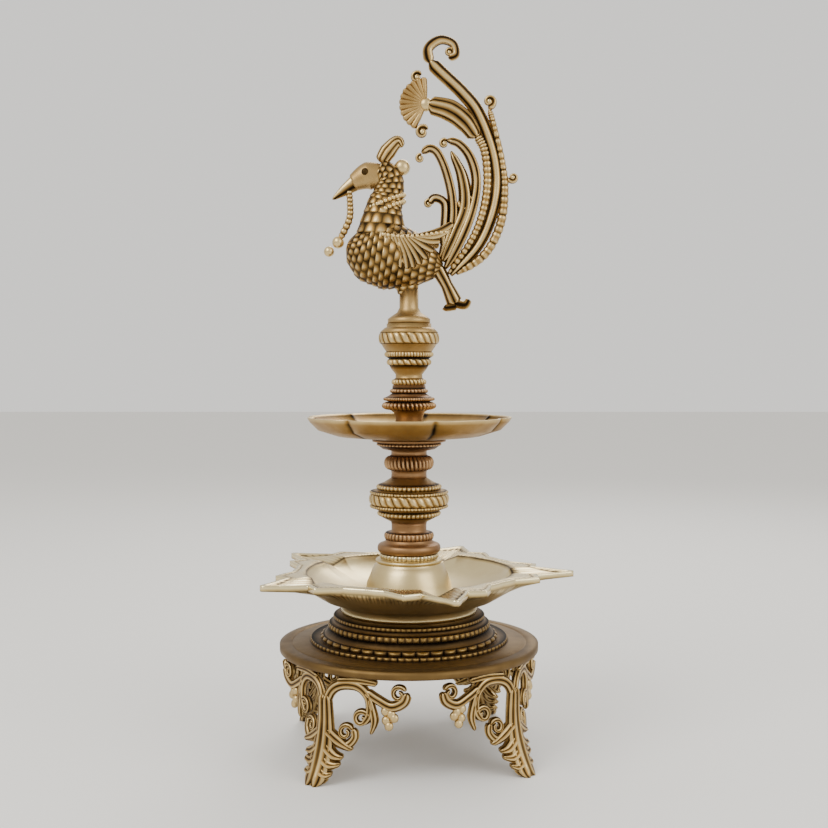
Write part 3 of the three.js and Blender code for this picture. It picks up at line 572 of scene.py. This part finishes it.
def build_legs():
    """Two wings to a leg, the second the mirror of the first. Each is turned back from the ridge,
    and the toe flares out by the square of how far it lies below the flare's height."""
    wing = leg_wing()
    source = np.vstack(wing.points)
    for number, angle in enumerate(LEG_ANGLES, 1):
        piece = Piece()
        for mirror in (1, -1):
            x, y = turn_about_z(source[:, 0], source[:, 1], WING_TURN)
            z = np.clip(source[:, 2], 0, LEG_TOP)
            fall = np.clip(1 - z / FLARE_HEIGHT, 0, 1)
            y = y - RIDGE_RADIUS - TOE_FLARE * fall**2
            x, y = turn_about_z(mirror * x, y, angle)
            piece.points.append(np.stack([x, y, z], -1))
            piece.relief += wing.relief
            faces = wing.faces if mirror == 1 else [part[:, ::-1] for part in wing.faces]
            piece.faces += [part + piece.count for part in faces]
            piece.count += len(source)
        antique = finish_of("antique")
        piece.make(f"brass_leg_{number}", antique, "base", [f"leg_{number}"])


def build_wing(piece, side):
    """One wing of twelve feathers with a row of beads along its top; side is -1 or 1."""
    feathers = 12
    for k in range(feathers):
        t = k / (feathers - 1)
        fall = 10 * math.sin(math.pi * min(t * 1.15, 1))
        foot = [-19 + 50 * t, 352 - fall + 23 * t**3]
        start = [-16 + 22 * t, 369 - 3 * t]
        middle = [(start[0] + foot[0]) / 2 + 2, (start[1] + foot[1]) / 2 - 1.5]
        line = [start, middle, foot]
        sweep(piece, line, [4, 6, 4.5], 2.2, 24, 14, flutes=3, side=side * 15.5)
    for k in range(14):
        ball(piece, -18 + 3.4 * k, side * 17, 367.5 - 1.5 * math.sin(k / 3), 1.5, 1.0)


def build_bird():
    """The bird: scaled trunk and neck, ribbed crest, garland, feathered wings, turned plinth."""
    piece = Piece()
    turned(piece, PLINTH_ROWS, 96)
    trunk = [[-44, 362], [-30, 357], [-14, 354], [4, 350], [24, 346]]
    sweep(piece, trunk, [16, 43, 50, 40, 14], 0.8, 110, 96, scales=16)
    neck = [[-20, 362], [-18, 386], [-14.5, 398], [-15.5, 409], [-24, 414]]
    sweep(piece, neck, [40, 27, 22, 22, 19], 0.8, 90, 72, scales=14)
    head = [[-17, 410], [-29, 410.5], [-41, 405]]
    sweep(piece, head, [16, 20, 11], 0.85, 40, 40)
    beak = [[-37, 407], [-46, 400.5], [-54.5, 394]]
    sweep(piece, beak, [12, 8, 2], 0.7, 30, 24, flutes=3)
    crest = [[-20, 420], [-15, 428], [-8, 435], [-4.5, 431]]
    sweep(piece, crest, [9, 11, 8, 3.5], 0.7, 40, 32, flutes=8)
    garland = [[-43, 403], [-42, 392], [-42.5, 380], [-49, 366]]
    sweep(piece, garland, [5, 5, 5.5, 5.5], 1.0, 50, 16, beads=12)
    for x, z, radius in [(-50.5, 363.5, 4.4), (-57, 357, 3.8), (-4.8, 416.5, 5.8)]:
        ball(piece, x, 0, z, radius)
    thigh = [[1, 352], [-1.5, 338], [-0.5, 326]]
    sweep(piece, thigh, [29, 20, 13.6], 0.8, 50, 48, scales=8)
    for side in (-1, 1):
        ball(piece, -31, side * 7.4, 412.5, 2.6, 0.2)
        ball(piece, -31, side * 8.6, 412.5, 1.3, 1.0)
        build_wing(piece, side)
    beads = 28
    for height, lean in ((392, 10), (386.5, 12)):
        for k in range(beads):
            a = 2 * math.pi * k / beads
            z = height + lean * 0.5 * math.cos(a)
            ball(piece, -16.5 + 13 * math.cos(a), 9.6 * math.sin(a), z, 1.7, 1.0)
    piece.make("brass_bird", finish_of("antique"), "bird", ["bird_body"])


def build_tail():
    """The tail: fluted plumes, beaded strands, scroll ends and the ribbed fan."""
    piece = Piece()
    for line, widths, flutes, beads in TAIL_STRANDS:
        sweep(piece, line, widths, 3.9, 90, 28, flutes=flutes, beads=beads)
    for x, z, radius, start in TAIL_SCROLLS:
        line = spiral(x, z, radius - 1.6, 1.3, start)
        sweep(piece, line, [radius * 0.7, radius * 0.4], 3.6, 50, 16, flutes=3)
        ball(piece, x, 0, z, radius * 0.42, 1.0, 1.0)
    for k in range(FAN_RIBS):
        a = math.radians(FAN_START + FAN_STEP * k)
        line = [[FAN_X + r * math.cos(a), FAN_Z + r * math.sin(a)] for r in (3, 11, 19)]
        sweep(piece, line, [2.5, 4.4, 5], 3.2, 24, 14)
    ball(piece, FAN_X, 0, FAN_Z, 5, 0.9, 0.75)
    piece.make("brass_tail", finish_of("antique"), "bird", ["bird_tail"])


def build_stage():
    """A pale floor, soft boxes of light and the camera at the photo's place."""
    props = bpy.context.scene.bird_lamp
    x, y = axis()
    bpy.ops.mesh.primitive_plane_add(size=12, location=(0, 0, 0))
    floor = bpy.context.object
    floor.name = "floor"
    paper = bpy.data.materials.new("Pale paper backdrop")
    paper.use_nodes = True
    surface = paper.node_tree.nodes["Principled BSDF"]
    surface.inputs["Base Color"].default_value = colour("#E9E7E2")
    surface.inputs["Roughness"].default_value = 0.9
    floor.data.materials.append(paper)
    for name, place, size, power in LIGHTS:
        lamp = bpy.data.lights.new(name, "AREA")
        lamp.size = size
        lamp.energy = power
        light = bpy.data.objects.new(name, lamp)
        light.location = place
        aim = np.array([0, 0, 0.25]) - np.array(place)
        tilt = math.atan2(math.hypot(aim[0], aim[1]), -aim[2])
        light.rotation_euler = (tilt, 0, math.atan2(aim[0], -aim[1]) + math.pi)
        bpy.context.scene.collection.objects.link(light)
    world = bpy.data.worlds.new("Soft studio")
    world.use_nodes = True
    background = world.node_tree.nodes["Background"]
    background.inputs["Color"].default_value = colour("#F4F2EE")
    background.inputs["Strength"].default_value = 1.15
    bpy.context.scene.world = world
    camera = bpy.data.objects.new("camera", bpy.data.cameras.new("camera"))
    camera.data.lens = props.lens
    camera.location = (x + CAMERA_RIGHT, y - CAMERA_BACK, CAMERA_HEIGHT)
    camera.rotation_euler = (math.radians(CAMERA_TILT), 0, 0)
    bpy.context.scene.collection.objects.link(camera)
    bpy.context.scene.camera = camera


class LampSettings(bpy.types.PropertyGroup):
    """What the sidebar can change"""

    brass_colour: bpy.props.StringProperty(name="Brass colour", default="#94733F")
    lens: bpy.props.FloatProperty(name="Lens, mm", default=51.65)


class LampOperator:
    """Shared by the operators: runs the operator's build function"""

    def execute(self, context):
        type(self).build()
        return {"FINISHED"}


class LAMP_OT_base(LampOperator, bpy.types.Operator):
    """Builds the footed disc"""
    bl_idname, bl_label, build = "lamp.base", "Base disc", staticmethod(build_base)


class LAMP_OT_legs(LampOperator, bpy.types.Operator):
    """Builds the four scrolled legs"""
    bl_idname, bl_label, build = "lamp.legs", "Legs", staticmethod(build_legs)


class LAMP_OT_dishes(LampOperator, bpy.types.Operator):
    """Builds the star dish and the lobed dish"""
    bl_idname, bl_label, build = "lamp.dishes", "Dishes", staticmethod(build_dishes)


class LAMP_OT_column(LampOperator, bpy.types.Operator):
    """Builds the turned pieces of the column"""
    bl_idname, bl_label, build = "lamp.column", "Column", staticmethod(build_column)


class LAMP_OT_bird(LampOperator, bpy.types.Operator):
    """Builds the bird"""
    bl_idname, bl_label, build = "lamp.bird", "Bird", staticmethod(build_bird)


class LAMP_OT_tail(LampOperator, bpy.types.Operator):
    """Builds the plume tail"""
    bl_idname, bl_label, build = "lamp.tail", "Tail", staticmethod(build_tail)


class LAMP_OT_stage(LampOperator, bpy.types.Operator):
    """Builds the floor, lights and camera"""
    bl_idname, bl_label, build = "lamp.stage", "Stage", staticmethod(build_stage)


OPERATORS = (
    LAMP_OT_base,
    LAMP_OT_legs,
    LAMP_OT_dishes,
    LAMP_OT_column,
    LAMP_OT_bird,
    LAMP_OT_tail,
    LAMP_OT_stage,
)


class LAMP_PT_panel(bpy.types.Panel):
    """The lamp's settings and pieces"""
    bl_idname = "LAMP_PT_panel"
    bl_label = "Lamp"
    bl_space_type = "VIEW_3D"
    bl_region_type = "UI"
    bl_category = "Lamp"

    def draw(self, context):
        for name in LampSettings.__annotations__:
            self.layout.prop(context.scene.bird_lamp, name)
        for operator in OPERATORS:
            self.layout.operator(operator.bl_idname)


def register():
    for made in (LampSettings, *OPERATORS, LAMP_PT_panel):
        bpy.utils.register_class(made)
    bpy.types.Scene.bird_lamp = bpy.props.PointerProperty(type=LampSettings)


def unregister():
    del bpy.types.Scene.bird_lamp
    for made in reversed((LampSettings, *OPERATORS, LAMP_PT_panel)):
        bpy.utils.unregister_class(made)


def main():
    register()
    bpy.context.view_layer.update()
    for operator in OPERATORS:
        getattr(bpy.ops.lamp, operator.bl_idname.split(".")[1])()


if __name__ == "__main__":
    main()
